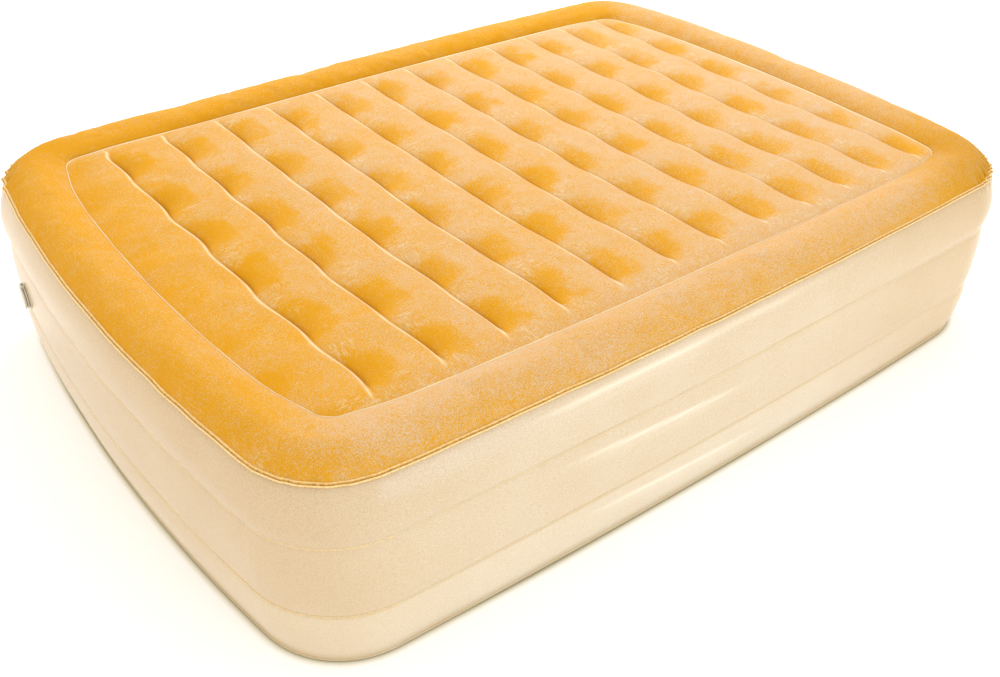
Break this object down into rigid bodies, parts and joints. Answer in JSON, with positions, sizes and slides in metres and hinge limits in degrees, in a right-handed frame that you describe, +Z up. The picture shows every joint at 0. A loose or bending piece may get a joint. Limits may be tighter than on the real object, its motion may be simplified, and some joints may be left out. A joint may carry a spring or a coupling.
{
  "type": "air mattress",
  "caption": "Raised inflatable air bed with a channelled flocked top, bolster rim, banded vinyl sides, inner beams and a capped screw-in inflation valve.",
  "frame": {"origin": "on the floor, under the middle of the bed", "axes": "+X along the length, away from the end with the valve; +Y across the width, towards the side the valve is nearer; +Z up"},
  "size_m": [1.9474, 1.4144, 0.4256],
  "materials": {
    "flock": "short flocked velour, amber orange with a peach sheen",
    "side_vinyl": "semi-gloss cream vinyl",
    "inner_vinyl": "plain translucent vinyl",
    "valve_plastic": "moulded off-white plastic",
    "seal_rubber": "soft dark rubber",
    "spring_steel": "drawn steel wire"
  },
  "bodies": {
    "bladder": {"sleeping_surface": "flock", "bolster": "flock", "edge_binding": "flock", "upper_side_band": "side_vinyl", "middle_side_band": "side_vinyl", "lower_side_band": "side_vinyl", "bottom_sheet": "side_vinyl", "perimeter_beam": "inner_vinyl", "upper_tie_sheet": "inner_vinyl", "lower_tie_sheet": "inner_vinyl", "top_beam_1": "inner_vinyl", "top_beam_2": "inner_vinyl", "top_beam_3": "inner_vinyl", "top_beam_4": "inner_vinyl", "top_beam_5": "inner_vinyl", "top_beam_6": "inner_vinyl", "top_beam_7": "inner_vinyl", "top_beam_8": "inner_vinyl", "top_beam_9": "inner_vinyl", "top_beam_10": "inner_vinyl", "top_beam_11": "inner_vinyl", "top_beam_12": "inner_vinyl", "middle_beam_1": "inner_vinyl", "middle_beam_2": "inner_vinyl", "middle_beam_3": "inner_vinyl", "middle_beam_4": "inner_vinyl", "middle_beam_5": "inner_vinyl", "base_beam_1": "inner_vinyl", "base_beam_2": "inner_vinyl", "base_beam_3": "inner_vinyl", "base_beam_4": "inner_vinyl", "base_beam_5": "inner_vinyl", "valve_flange": "valve_plastic"},
    "gasket": {"valve_gasket": "seal_rubber"},
    "insert": {"valve_insert": "valve_plastic", "cap_hinge_pin": "spring_steel", "stem_spring": "spring_steel"},
    "stem": {"valve_stem": "valve_plastic", "poppet": "valve_plastic", "poppet_seal": "seal_rubber"},
    "cap": {"valve_cap": "valve_plastic", "cap_gasket": "seal_rubber"}
  },
  "joints": [
    {"name": "insert_rise", "type": "slide", "parent": "bladder", "child": "gasket", "axis": [-0.9938, 0.1115, 0], "range_m": [0, 0.0038]},
    {"name": "insert_turn", "type": "hinge", "parent": "gasket", "child": "insert", "pos_m": [-0.94833, 0.44703, 0.183], "axis": [-0.9938, 0.1115, 0], "range_deg": [0, 450]},
    {"name": "stem_push", "type": "slide", "parent": "insert", "child": "stem", "axis": [0.9938, -0.1115, 0], "range_m": [0, 0.0035], "stiffness_N_per_m": 300, "springref_m": -0.004, "deforming": ["stem_spring"]},
    {"name": "cap_open", "type": "hinge", "parent": "insert", "child": "cap", "pos_m": [-0.95568, 0.44786, 0.2102], "axis": [0.1115, 0.9938, 0], "range_deg": [0, 160]}
  ],
  "couplings": [
    {"joint": "insert_rise", "follows": "insert_turn", "m_per_rad": 0.00047746}
  ]
}
